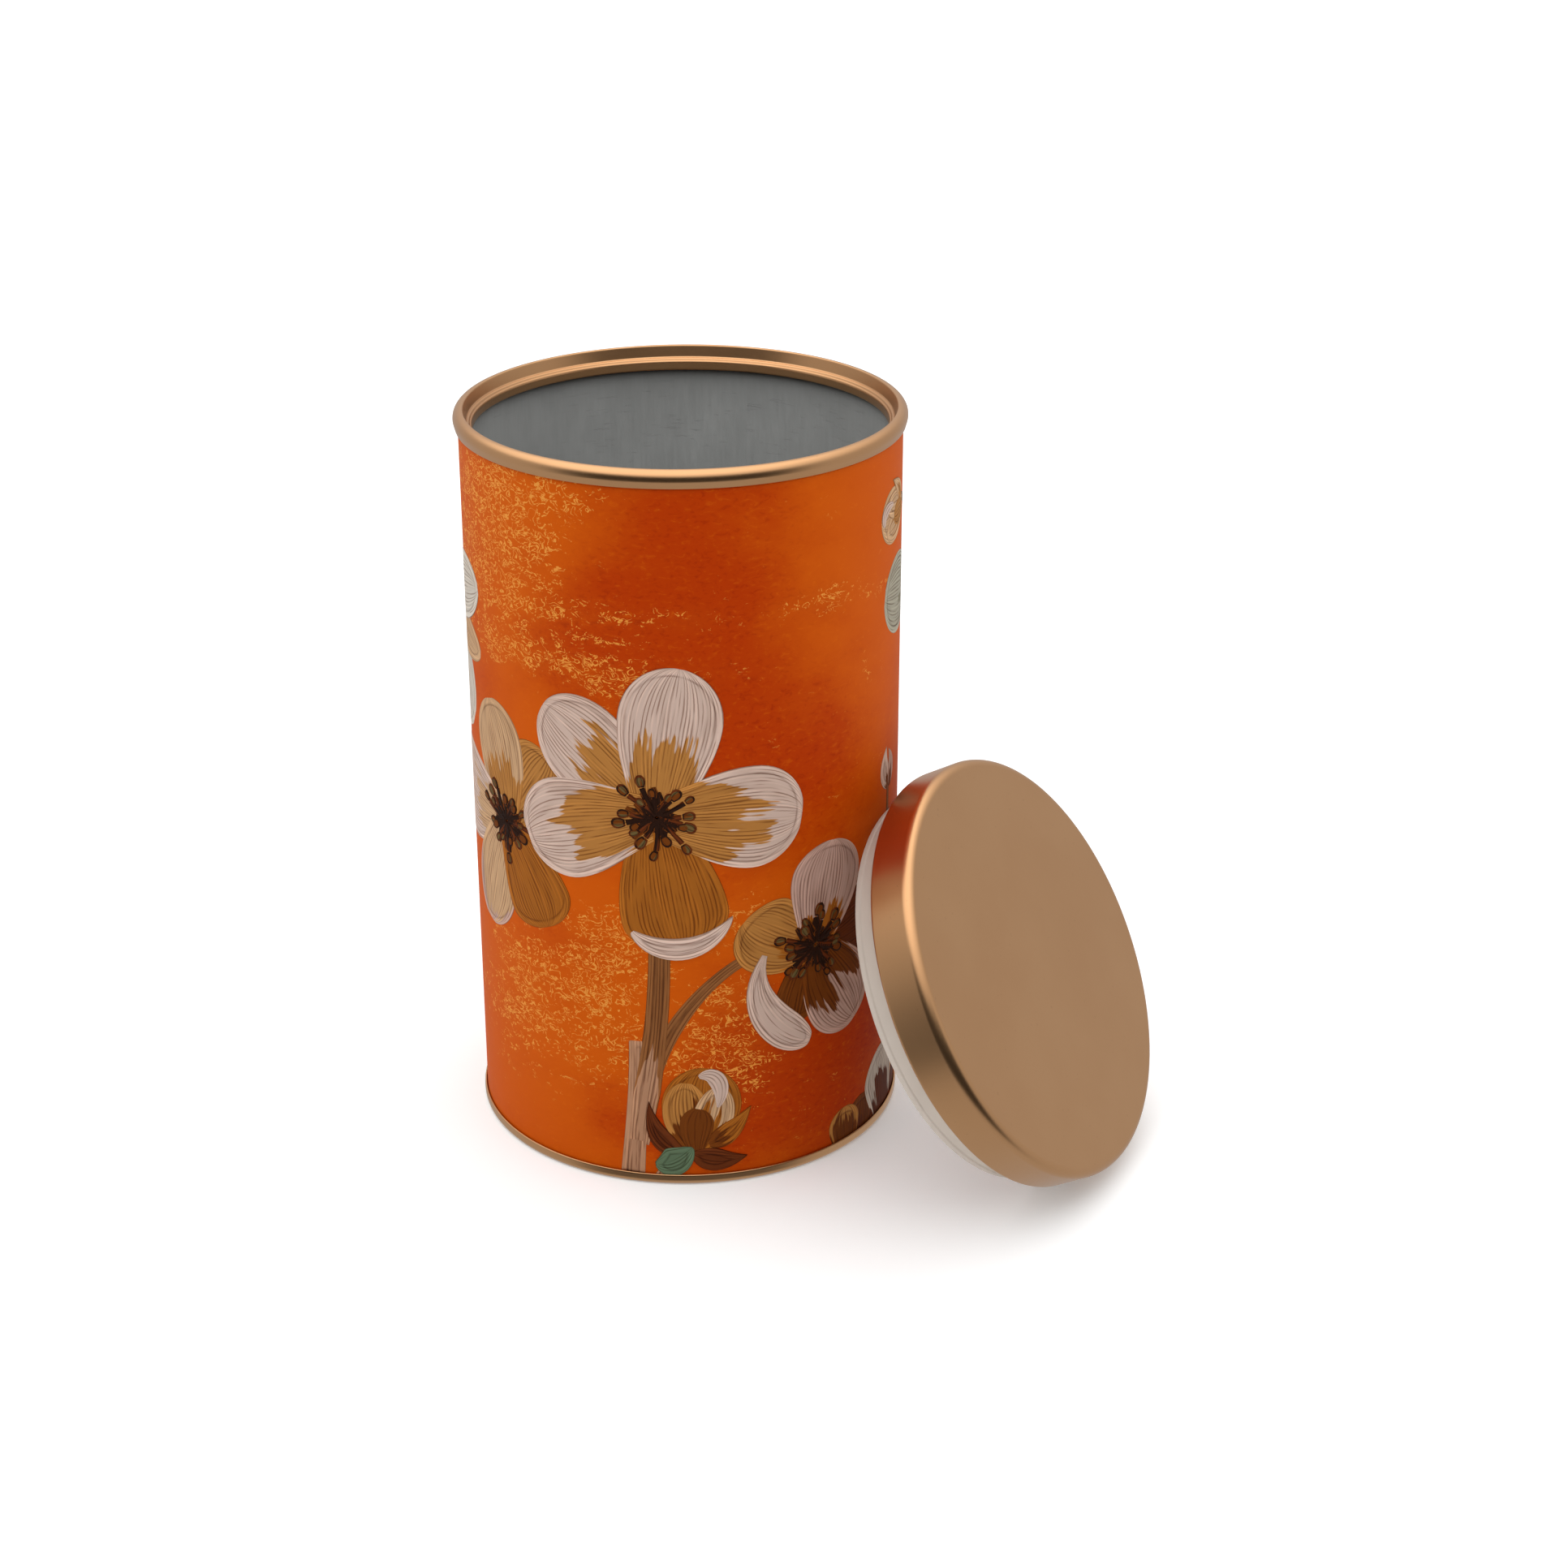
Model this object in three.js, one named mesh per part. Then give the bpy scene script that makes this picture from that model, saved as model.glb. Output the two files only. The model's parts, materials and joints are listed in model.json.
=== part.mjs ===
// Round cookie canister: a wound paperboard body with metal ends, and a plug lid leaning against it.
// Millimetres, +Z up. The origin is the bottom centre of the box round the tin and its lid.
import * as THREE from 'three';

// Driving dimensions
const FACETS = 60; // flats round every turned piece, a multiple of four
const ARC_STEPS = 4; // flats along each bent stretch of sheet
const PLY_GAP = 0.05; // air between pieces that are bonded or clinched
const SHEET = 0.4; // tinplate with its lacquer

const CAN_HEIGHT = 143.5;
const WRAP_RADIUS = 41.5; // outer face of the printed wrap
const WRAP_PLY = 0.25;
const BOARD_PLY = 1.25;
const LINER_PLY = 0.15;
const SEAL_INSET = 0.45; // sealing compound lies this far inside each face of the board's end
const SEAL_HEIGHT = 0.65;

const BEAD_RADIUS = 42.37; // widest point of the rolled bead on the top ring
const CROWN_RADIUS = 40.72; // radius at which the bead is highest
const BEAD_DEPTH = 3.3; // from the crown to the foot of its outer leg
const FUNNEL = [{ radius: 40.4, depth: 0.3 }, { radius: 39.84, depth: 2.05 }]; // steep wall inside the bead
const LEDGE_STEPS = [ // two small steps between the funnel and the collar
  { inward: 0.24, depth: 2.33 },
  { inward: 0.49, depth: 2.33 },
  { inward: 0.71, depth: 2.66 },
  { inward: 0.92, depth: 2.68 },
];
const COLLAR_RADIUS = 38.8; // bore that takes the plug, 0.25 wider than its lip
const COLLAR_TOP = 3; // from the crown down to where the collar turns upright
const COLLAR_DEPTH = 4.4;
const TUBE_DROP = 2.85; // from the crown down to the tube's top edge

const BAND_RADIUS = 42.1; // bottom end's outer leg
const BAND_HEIGHT = 2.1;
const PANEL_HEIGHT = 4.4; // countersunk bottom panel above the table
const PANEL_RADIUS = 38.3;
const STEP_RADIUS = 33; // expansion step pressed into the panel
const STEP_DEPTH = 0.5;

const LID_RADIUS = 41.5;
const LID_HEIGHT = 9;
const SHOULDER_RADIUS = 1.8;
const HEM_WIDTH = 0.55; // the open edge, folded back inside
const HEM_HEIGHT = 1.1;

const PLUG_RADIUS = 38.35;
const PLUG_WALL = 1.45;
const PLUG_REACH = 5.8; // how far the plug stands out of the open edge
const PLUG_LIP = 0.2; // snap lip round its free edge
const PLUG_WEB = 1.2;
const FLANGE_RADIUS = 40.95; // flange that sits behind the hem
const FLANGE_THICKNESS = 1.05;

const LEAN_DIRECTION = -25.8; // degrees round from +X to the side where the lid leans
const LID_TILT = 60.7; // degrees from upright to the lid's own axis
const SIDE_OFFSET = 4.2; // the lid's centre stands this far to one side of the can's
const TOUCH_GAP = 0.3; // left where the lid meets the wrap

const board = new THREE.MeshStandardMaterial({ color: 0x9a8466, roughness: 0.9 });
const print = new THREE.MeshStandardMaterial({ color: 0xb9480a, roughness: 0.6 });
const foil = new THREE.MeshStandardMaterial({ color: 0x8c8c8a, roughness: 0.45, metalness: 0.9 });
const copper = new THREE.MeshStandardMaterial({ color: 0xb08258, roughness: 0.35, metalness: 1 });
const compound = new THREE.MeshStandardMaterial({ color: 0xc9b48a, roughness: 0.8 });
const plastic = new THREE.MeshStandardMaterial({ color: 0xd2c9bd, roughness: 0.5 });

const boardOuter = WRAP_RADIUS - WRAP_PLY - PLY_GAP;
const boardInner = boardOuter - BOARD_PLY;
const linerOuter = boardInner - PLY_GAP;
const linerInner = linerOuter - LINER_PLY;

const at = (radius, height) => new THREE.Vector2(radius, height);

// Points along part of an ellipse about centre, between two angles in degrees.
function bend(centre, across, up, from, to) {
  const start = THREE.MathUtils.degToRad(from);
  const end = THREE.MathUtils.degToRad(to);
  const curve = new THREE.EllipseCurve(centre.x, centre.y, across, up, start, end, from > to);
  return curve.getPoints(ARC_STEPS);
}

// Outline of sheet metal whose middle runs through the given points. A sheet that starts on
// the axis is left open there, and any other outline closes on itself.
function sheetOutline(middle, thickness) {
  const left = [];
  const right = [];
  const normals = middle.slice(1).map((point, i) => {
    const along = point.clone().sub(middle[i]).normalize();
    return at(-along.y, along.x);
  });
  middle.forEach((point, i) => {
    const before = normals[Math.max(i - 1, 0)];
    const after = normals[Math.min(i, normals.length - 1)];
    const mitre = before.clone().add(after).divideScalar(1 + before.dot(after));
    left.push(point.clone().addScaledVector(mitre, thickness / 2));
    right.unshift(point.clone().addScaledVector(mitre, -thickness / 2));
  });
  const outline = [...left, ...right];
  if (middle[0].x > 0) outline.push(left[0].clone());
  return outline;
}

// Outline of a straight sleeve.
function sleeveOutline(inner, outer, low, high) {
  return [at(inner, low), at(outer, low), at(outer, high), at(inner, high), at(inner, low)];
}

// A named piece turned about +Z from an outline of radii and heights, which runs anticlockwise
// so that its faces point out.
function turned(name, outline, material) {
  const anticlockwise = THREE.ShapeUtils.area(outline) > 0 ? outline : [...outline].reverse();
  const geometry = new THREE.LatheGeometry(anticlockwise, FACETS);
  geometry.rotateX(Math.PI / 2);
  const mesh = new THREE.Mesh(geometry, material);
  mesh.name = name;
  return mesh;
}

// Tinplate ring clinched over the top of the tube: outer leg, rolled bead, steep funnel, stepped
// ledge, then the plug's collar.
function topRing() {
  const half = SHEET / 2;
  const top = CAN_HEIGHT - half;
  const roll = BEAD_RADIUS - half - CROWN_RADIUS;
  const foot = at(WRAP_RADIUS + 3 * PLY_GAP + half, CAN_HEIGHT - BEAD_DEPTH + half);
  const bead = bend(at(CROWN_RADIUS, top - roll), roll, roll, 0, 90);
  const funnel = FUNNEL.map((stop) => at(stop.radius + half, top - stop.depth));
  const funnelFoot = funnel[funnel.length - 1];
  const ledge = LEDGE_STEPS.map((step) => at(funnelFoot.x - step.inward, top - step.depth));
  const collar = [COLLAR_TOP, COLLAR_DEPTH - half].map((depth) => at(COLLAR_RADIUS + half, top - depth));
  return sheetOutline([foot, ...bead, ...funnel, ...ledge, ...collar], SHEET);
}

// Tinplate end clinched over the foot of the tube: flat panel, step, chuck wall, rim, outer leg.
function bottomEnd() {
  const half = SHEET / 2;
  const wall = linerInner - 3 * PLY_GAP - half;
  const band = BAND_RADIUS - half;
  const rimBend = 0.7;
  const panel = [
    at(0, PANEL_HEIGHT - STEP_DEPTH),
    at(STEP_RADIUS, PANEL_HEIGHT - STEP_DEPTH),
    at(STEP_RADIUS + STEP_DEPTH, PANEL_HEIGHT),
    at(PANEL_RADIUS, PANEL_HEIGHT),
    at(wall, PANEL_HEIGHT - rimBend),
  ];
  const rim = [
    at(wall, half + rimBend),
    at(wall + rimBend, half),
    at(band - rimBend, half),
    at(band, half + rimBend),
    at(WRAP_RADIUS + 2 * PLY_GAP + half, BAND_HEIGHT),
  ];
  return sheetOutline([...panel, ...rim], SHEET);
}

// Drawn metal cap, open edge at height 0: hem folded back inside, skirt, rounded shoulder, face.
function lidShell() {
  const half = SHEET / 2;
  const skirt = LID_RADIUS - half;
  const face = LID_HEIGHT - half;
  const bendRadius = SHOULDER_RADIUS - half;
  const shoulder = bend(at(skirt - bendRadius, face - bendRadius), bendRadius, bendRadius, 90, 0);
  const foldCentre = at(skirt - HEM_WIDTH / 2, half + HEM_WIDTH / 2);
  const hem = bend(foldCentre, HEM_WIDTH / 2, HEM_WIDTH / 2, 0, -180);
  return sheetOutline([at(0, face), ...shoulder, ...hem, at(skirt - HEM_WIDTH, HEM_HEIGHT)], SHEET);
}

// Moulded cup pressed into the cap: web, wall with a snap lip, and the flange behind the hem.
function lidPlug() {
  const inner = PLUG_RADIUS - PLUG_WALL;
  const back = LID_HEIGHT - SHEET - TOUCH_GAP;
  const flange = HEM_HEIGHT + TOUCH_GAP;
  const lip = PLUG_RADIUS + PLUG_LIP;
  const soften = 0.35;
  return [
    at(0, back - PLUG_WEB),
    at(inner, back - PLUG_WEB),
    at(inner, soften - PLUG_REACH),
    at(inner + soften, -PLUG_REACH),
    at(lip - soften, -PLUG_REACH),
    at(lip, soften - PLUG_REACH),
    at(lip, 3 * soften - PLUG_REACH),
    at(PLUG_RADIUS, 4 * soften - PLUG_REACH),
    at(PLUG_RADIUS, flange),
    at(FLANGE_RADIUS, flange),
    at(FLANGE_RADIUS, flange + FLANGE_THICKNESS),
    at(PLUG_RADIUS, flange + FLANGE_THICKNESS),
    at(PLUG_RADIUS, back),
    at(0, back),
  ];
}

// Body of the tin: board tube between its wrap and its liner, with an end clinched on each way.
function makeCan() {
  const tubeFoot = 2 * SHEET + 6 * PLY_GAP;
  const tubeTop = CAN_HEIGHT - TUBE_DROP;
  const sealInner = boardInner + SEAL_INSET;
  const sealOuter = boardOuter - SEAL_INSET;
  const bottomSeal = sleeveOutline(sealInner, sealOuter, SHEET + PLY_GAP, tubeFoot - PLY_GAP);
  const topSeal = sleeveOutline(sealInner, sealOuter, tubeTop + PLY_GAP, tubeTop + SEAL_HEIGHT);
  const can = new THREE.Group();
  can.add(
    turned('paper_tube', sleeveOutline(boardInner, boardOuter, tubeFoot, tubeTop), board),
    turned('printed_wrap', sleeveOutline(boardOuter + PLY_GAP, WRAP_RADIUS, tubeFoot, tubeTop), print),
    turned('foil_liner', sleeveOutline(linerInner, linerOuter, tubeFoot, tubeTop), foil),
    turned('top_ring', topRing(), copper),
    turned('top_seam_seal', topSeal, compound),
    turned('bottom_end', bottomEnd(), copper),
    turned('bottom_seam_seal', bottomSeal, compound),
  );
  return can;
}

// The lid stands on the edge of its plug and of its hem, and leans its plug on the wrap.
function makeLid() {
  const shell = lidShell();
  const plug = lidPlug();
  const tilt = THREE.MathUtils.degToRad(LID_TILT);
  const lean = THREE.MathUtils.degToRad(LEAN_DIRECTION);
  const edges = [...shell, ...plug];
  const lowest = Math.min(...edges.map((p) => p.y * Math.cos(tilt) - p.x * Math.sin(tilt)));
  const nearest = Math.min(...edges.map((p) => p.y * Math.sin(tilt) - p.x * Math.cos(tilt)));
  const out = Math.sqrt((WRAP_RADIUS + TOUCH_GAP) ** 2 - SIDE_OFFSET ** 2) - nearest;
  const lid = new THREE.Group();
  lid.add(turned('lid_shell', shell, copper), turned('lid_plug', plug, plastic));
  lid.rotation.set(0, tilt, lean, 'ZYX');
  lid.position.set(
    out * Math.cos(lean) - SIDE_OFFSET * Math.sin(lean),
    out * Math.sin(lean) + SIDE_OFFSET * Math.cos(lean),
    -lowest,
  );
  return lid;
}

const tin = new THREE.Group();
tin.add(makeCan(), makeLid());
tin.updateMatrixWorld(true);
const middle = new THREE.Box3().setFromObject(tin, true).getCenter(new THREE.Vector3());
tin.position.set(-middle.x, -middle.y, 0);

export default tin;
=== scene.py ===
import json
import math

import bmesh
import bpy
import numpy as np
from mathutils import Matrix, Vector


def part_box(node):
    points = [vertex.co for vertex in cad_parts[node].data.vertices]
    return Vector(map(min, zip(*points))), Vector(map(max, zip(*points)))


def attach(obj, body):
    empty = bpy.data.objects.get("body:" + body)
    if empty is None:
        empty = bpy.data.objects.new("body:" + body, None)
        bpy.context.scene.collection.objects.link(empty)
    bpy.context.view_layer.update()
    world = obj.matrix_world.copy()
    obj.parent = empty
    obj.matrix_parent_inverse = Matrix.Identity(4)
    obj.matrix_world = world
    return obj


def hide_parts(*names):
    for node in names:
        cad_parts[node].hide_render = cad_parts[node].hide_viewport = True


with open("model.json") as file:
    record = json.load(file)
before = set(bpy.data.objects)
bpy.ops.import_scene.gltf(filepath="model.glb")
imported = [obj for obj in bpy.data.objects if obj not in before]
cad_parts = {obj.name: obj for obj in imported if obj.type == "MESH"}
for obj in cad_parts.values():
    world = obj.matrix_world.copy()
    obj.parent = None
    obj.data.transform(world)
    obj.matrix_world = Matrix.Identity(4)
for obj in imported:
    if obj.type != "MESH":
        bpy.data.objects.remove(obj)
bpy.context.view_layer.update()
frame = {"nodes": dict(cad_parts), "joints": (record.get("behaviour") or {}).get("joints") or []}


# ---- Paper tube ------------------------------------------------------------------------------
# The can's body: brown board wound in plies round a mandrel, glued and cut to length. It is hidden
# between the wrap and the liner, and both metal ends are clinched over its edges.

MM = 0.001


def ink(red, green, blue):
    """A display colour of 0 to 255 as linear light: the usual power of 2.4 with its short straight foot."""
    share = np.array([red, green, blue]) / 255
    linear = np.where(share <= 0.04045, share / 12.92, ((share + 0.055) / 1.055) ** 2.4)
    return (*linear.tolist(), 1.0)


class Wire:
    """A material's socket. Sums and products of wires and numbers add the Math nodes for them."""

    def __init__(self, look, socket):
        self.look = look
        self.socket = socket

    def math(self, operation, *others):
        inputs = dict(enumerate([self, *others]))
        return self.look.add("ShaderNodeMath", {"operation": operation}, inputs)

    def __add__(self, other):
        return self.math("ADD", other)

    __radd__ = __add__

    def __mul__(self, other):
        return self.math("MULTIPLY", other)

    __rmul__ = __mul__

    def __sub__(self, other):
        return self.math("SUBTRACT", other)

    def __rsub__(self, other):
        return self * -1 + other

    def __abs__(self):
        return self.math("ABSOLUTE")

    def rises(self, low, high):
        """0 below low and 1 above high, with a smooth step between; a high below low turns it round."""
        settings = {"interpolation_type": "SMOOTHSTEP"}
        if high > low:
            inputs = {"Value": self, "From Min": low, "From Max": high}
            return self.look.add("ShaderNodeMapRange", settings, inputs)
        return 1 - self.rises(high, low)


class Look:
    """A material: fixed numbers go straight on the shader's sockets, and `add` makes any other node."""

    def __init__(self, name, **fixed):
        self.material = bpy.data.materials.new(name)
        self.material.use_nodes = True
        self.tree = self.material.node_tree
        self.shader = self.tree.nodes["Principled BSDF"]
        for socket, value in fixed.items():
            self.shader.inputs[socket.replace("_", " ")].default_value = value

    def plug(self, socket, value):
        if isinstance(value, Wire):
            self.tree.links.new(value.socket, socket)
        else:
            socket.default_value = value

    def add(self, kind, settings, inputs, output=0):
        node = self.tree.nodes.new(kind)
        for name, value in settings.items():
            setattr(node, name, value)
        for key, value in inputs.items():
            self.plug(node.inputs[key], value)
        return Wire(self, node.outputs[output])

    def place(self, size=(1, 1, 1)):
        """Object coordinates, counted in steps of size, which is in millimetres."""
        where = self.add("ShaderNodeTexCoord", {}, {}, "Object")
        scale = [1 / (MM * side) for side in size]
        return self.add("ShaderNodeMapping", {}, {"Vector": where, "Scale": scale})

    def noise(self, where, detail=2.0, distortion=0.0, roughness=0.5):
        inputs = {"Vector": where, "Scale": 1.0, "Detail": detail}
        inputs.update({"Distortion": distortion, "Roughness": roughness})
        return self.add("ShaderNodeTexNoise", {}, inputs)

    def blend(self, factor, first, second, how="MIX"):
        """Colour first at factor 0 and second at factor 1, or second laid on first as `how` says."""
        inputs = {"Factor": factor, 6: first, 7: second}
        return self.add("ShaderNodeMix", {"data_type": "RGBA", "blend_type": how}, inputs, 2)

    def paint(self, **outputs):
        for socket, value in outputs.items():
            self.plug(self.shader.inputs[socket.replace("_", " ")], value)

    def relief(self, height, depth, strength=1.0):
        """Bumps that stand up to depth millimetres where the height wire is 1."""
        inputs = {"Height": height, "Distance": depth * MM, "Strength": strength}
        self.paint(Normal=self.add("ShaderNodeBump", {}, inputs, "Normal"))


board = Look("winding_board", Roughness=0.85)
fibres = board.noise(board.place((0.6, 0.6, 4)), detail=6)
board.paint(Base_Color=board.blend(fibres, ink(140, 108, 76), ink(178, 146, 108)))
board.relief(fibres, 0.05)

tube = frame["nodes"]["paper_tube"]
tube.data.materials.clear()
tube.data.materials.append(board.material)


# ---- Foil liner ------------------------------------------------------------------------------
# Thin aluminium foil on paper, rolled into the tube so that it covers the board, with one straight lap
# glued down where its two edges meet. It is dull, with light scuffs.

LINER_GAUGE = 0.15
LAP_DIRECTION = 155.0
LAP_WIDTH = 7.0
LAP_STEP = 0.12
LAP_SLOPE = 0.9  # degrees over which the lap rises
TURNS = 288
SEAM_JOIN = 2e-7


def loose_mesh(name, points, faces):
    """A new piece from whole arrays of points in metres and of faces."""
    mesh = bpy.data.meshes.new(name)
    mesh.from_pydata(points, [], faces)
    piece = bpy.data.objects.new(name, mesh)
    bpy.context.scene.collection.objects.link(piece)
    return piece


def weld(piece, look, distance):
    """Joins points closer than the distance in metres, turns all faces outwards and lays the look on."""
    mesh = piece.data
    shape = bmesh.new()
    shape.from_mesh(mesh)
    bmesh.ops.remove_doubles(shape, verts=shape.verts, dist=distance)
    bmesh.ops.recalc_face_normals(shape, faces=shape.faces)
    shape.to_mesh(mesh)
    shape.free()
    mesh.shade_smooth()
    mesh.materials.append(look.material)


def sheet_of_faces(rows, columns):
    """Four-sided faces of a grid of rows by columns points, closed both ways round."""
    row, column = np.meshgrid(np.arange(rows), np.arange(columns), indexing="ij")
    after_row, after_column = (row + 1) % rows, (column + 1) % columns
    corners = [(row, column), (after_row, column), (after_row, after_column), (row, after_column)]
    return np.stack([(r * columns + c).ravel() for r, c in corners], axis=1)


def turned(name, outline, look, frame_of=None, swell=None):
    """Each point (radius, height) of a closed outline goes round the axis: x = radius cos a,
    y = radius sin a. swell(angle, height) adds to the radius. frame_of turns and moves these
    millimetres into the row's metres."""
    radius, height = np.array(outline).T
    angle = np.arange(TURNS) * 2 * np.pi / TURNS
    angles, radii = np.meshgrid(angle, radius, indexing="ij")
    heights = np.broadcast_to(height, radii.shape)
    if swell is not None:
        radii = radii + swell(angles, heights)
    points = np.stack([radii * np.cos(angles), radii * np.sin(angles), heights], axis=-1).reshape(-1, 3)
    piece = loose_mesh(name, (frame_of or on_can)(points), sheet_of_faces(TURNS, len(radius)))
    weld(piece, look, SEAM_JOIN)
    return piece


can_low, can_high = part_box("printed_wrap")
can_axis = np.array([(can_low.x + can_high.x) / 2, (can_low.y + can_high.y) / 2, 0])


def on_can(points):
    """Millimetres about the can's own axis as metres in the row's frame."""
    return points * MM + can_axis


def wall(inner, outer, low, high, steps=1):
    """The closed outline of a plain wall between two radii and two heights."""
    heights = np.linspace(low, high, steps + 1)
    return [(outer, z) for z in heights] + [(inner, z) for z in heights[::-1]]


foil = Look("dull_foil", Metallic=0.5, Specular_IOR_Level=0.2)
clouds = foil.noise(foil.place((9, 9, 14)), detail=3)
scuffs = foil.noise(foil.place((0.7, 0.7, 6)), detail=5, distortion=0.6)
scratches = foil.noise(foil.place((5, 5, 0.35)), detail=4).rises(0.62, 0.72)
foil_tone = foil.blend(clouds.rises(0.3, 0.7), ink(133, 134, 132), ink(140, 141, 139))
foil_tone = foil.blend(scratches * 0.15, foil_tone, ink(148, 148, 145))
foil.paint(Base_Color=foil_tone, Roughness=0.5 + scuffs * 0.2)
foil.relief(scuffs + scratches * 0.6, 0.05, 0.6)

liner_low, liner_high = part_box("foil_liner")
liner_radius = (liner_high.x - liner_low.x) / 2 / MM


def lap(angle, height):
    """The radius drops by the lap's step where the angle is within half the lap's width of its middle."""
    off = (np.degrees(angle) - LAP_DIRECTION + 180) % 360 - 180
    half = math.degrees(LAP_WIDTH / 2 / liner_radius)
    return -LAP_STEP * np.clip((half - np.abs(off)) / LAP_SLOPE, 0, 1)


liner_wall = wall(liner_radius - LINER_GAUGE, liner_radius, liner_low.z / MM, liner_high.z / MM)
liner = turned("foil_liner_sheet", liner_wall, foil, swell=lap)
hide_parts("foil_liner")
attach(liner, "can")


# ---- Printed wrap ----------------------------------------------------------------------------
# The paper that dresses the tube, printed orange with rubbed gold flecks and glued round it. Places on
# it are millimetres round the can, counted to the right from the front, and millimetres above the table.

WRAP_GAUGE = 0.25
WRAP_STEPS = 156
# Where the print turns deep red. The strongest patch, low on the right beside the leaning lid, is partly
# print and partly painted shadow of the lid.
DEEP_AND_SHADE_PATCHES = [  # round, height, half width, half height, strength
    (3, 122, 20, 34, 1.0), (22, 84, 22, 20, 0.85), (-14, 110, 20, 14, 0.45), (28, 22, 26, 24, 1.1),
    (-4, 12, 20, 12, 0.6), (-24, 48, 16, 10, 0.35), (-52, 98, 14, 22, 0.35), (70, 60, 24, 30, 0.5),
    (104, 118, 26, 20, 0.7), (128, 74, 22, 24, 0.8), (-110, 24, 28, 18, 0.6), (-92, 78, 20, 16, 0.7),
]
GOLD_PATCHES = [
    (-40, 133, 17, 9, 0.85), (-30, 124, 11, 9, 0.5), (-47, 119, 13, 7, 0.7), (-22, 137, 14, 4, 0.45),
    (-36, 111, 12, 5, 0.35), (-16, 115.5, 15, 2.5, 0.6), (3, 116, 5, 2.5, 0.45), (-13, 111, 9, 1.4, 0.45),
    (-21, 105.5, 26, 3, 0.8), (-10, 101, 8, 3, 0.5), (-44, 104, 10, 5, 0.4), (28, 116.5, 9, 2.6, 0.75),
    (44, 114, 9, 2.2, 0.35), (42, 100, 4, 4.5, 0.35), (-14, 52, 11, 7, 0.8), (-32, 41, 17, 7, 0.75),
    (-36, 30, 16, 6, 0.65), (-14, 36, 8, 12, 0.55), (-44, 20, 12, 8, 0.3), (-22, 20, 12, 8, 0.22),
    (6, 38, 9, 9, 0.6), (12, 56, 9, 5, 0.55), (3, 26, 12, 5, 0.6), (17, 32, 8, 9, 0.3), (12, 20, 5, 9, 0.4),
    (44, 74, 8, 12, 0.15), (30, 14, 12, 8, 0.12), (86, 128, 18, 6, 0.7), (118, 108, 16, 5, 0.6),
    (74, 34, 12, 12, 0.6), (110, 66, 14, 4, 0.6), (-124, 118, 14, 8, 0.8), (-104, 70, 14, 5, 0.6),
    (-74, 26, 12, 14, 0.7), (-122, 20, 10, 10, 0.5), (-70, 132, 14, 8, 0.6), (128, 12, 14, 6, 0.4),
]

wrap_radius = (can_high.x - can_low.x) / 2 / MM
wrap_low, wrap_high = can_low.z / MM, can_high.z / MM
girth = 2 * np.pi * wrap_radius


def round_of(angle):
    """Millimetres round the wrap from the front for an angle counted from the x axis."""
    return ((angle + np.pi / 2) / (2 * np.pi) + 0.5) % 1 * girth - girth / 2


def patches(around, height, spots):
    """The sum of soft bumps, each its strength times e to the minus square of the distance, which
    is counted in half widths and half heights."""
    total = np.zeros_like(around)
    for middle, level, half_width, half_height, strength in spots:
        side = (around - middle + girth / 2) % girth - girth / 2
        total += strength * np.exp(-((side / half_width) ** 2) - ((height - level) / half_height) ** 2)
    return total


def store(piece, name, kind, values):
    """Keeps an array as the piece's own point attribute, which its material reads by name."""
    field = {"FLOAT": "value", "FLOAT_VECTOR": "vector", "FLOAT_COLOR": "color"}[kind]
    attribute = piece.data.attributes.new(name, kind, "POINT")
    attribute.data.foreach_set(field, np.ascontiguousarray(values, np.float32).ravel())


def read(look, name, output="Fac"):
    return look.add("ShaderNodeAttribute", {"attribute_name": name}, {}, output)


ground = Look("orange_print", Roughness=0.5, Specular_IOR_Level=0.03)
mottle = ground.noise(ground.place((13, 13, 9)), detail=4)
fibre = ground.noise(ground.place((1.5, 1.5, 0.8)), detail=5, distortion=0.8)
# The deep red patches darken the orange and its dark fibres; low on the right this darkening is partly
# painted shadow of the lid.
depth = (read(ground, "deep_red_and_shade") + (mottle - 0.5) * 0.9).rises(0.0, 1.0)
tone = ground.blend(depth, ink(203, 86, 5), ink(178, 54, 0))
tone = ground.blend(fibre.rises(0.52, 0.74) * depth * 0.5, tone, ink(146, 34, 0))
tone = ground.blend(fibre.rises(0.45, 0.25) * 0.3, tone, ink(212, 100, 10))
gold = read(ground, "gold")
worms = ground.noise(ground.place((2.3, 2.3, 1.6)), detail=2, distortion=1.6)
dashes = ground.noise(ground.place((3.6, 3.6, 1.9)), detail=5, distortion=1.0, roughness=0.62)
thread = abs(worms - 0.5).rises(0.04, 0.02)
flecks = thread * (dashes + gold * 0.33 - 0.2).rises(0.45, 0.5)
tone = ground.blend(gold * 0.14, tone, ink(204, 104, 20))
tone = ground.blend(flecks * (0.5 + gold).rises(0.2, 1.0), tone, ink(226, 147, 62))
ground.paint(Base_Color=tone)
ground.relief(flecks + fibre * 0.3, 0.025, 0.5)

outside = wall(wrap_radius - WRAP_GAUGE, wrap_radius, wrap_low, wrap_high, WRAP_STEPS)
wrap = turned("printed_wrap_sheet", outside, ground)
wrap_points = np.array([v.co for v in wrap.data.vertices])
spot = (wrap_points - can_axis) / MM
around = round_of(np.arctan2(spot[:, 1], spot[:, 0]))
# The deep red attribute holds the print's deep patches and, low on the right, painted shadow of the lid.
store(wrap, "deep_red_and_shade", "FLOAT", patches(around, spot[:, 2], DEEP_AND_SHADE_PATCHES))
store(wrap, "gold", "FLOAT", np.clip(patches(around, spot[:, 2], GOLD_PATCHES), 0, 1))
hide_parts("printed_wrap")
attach(wrap, "can")


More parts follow.
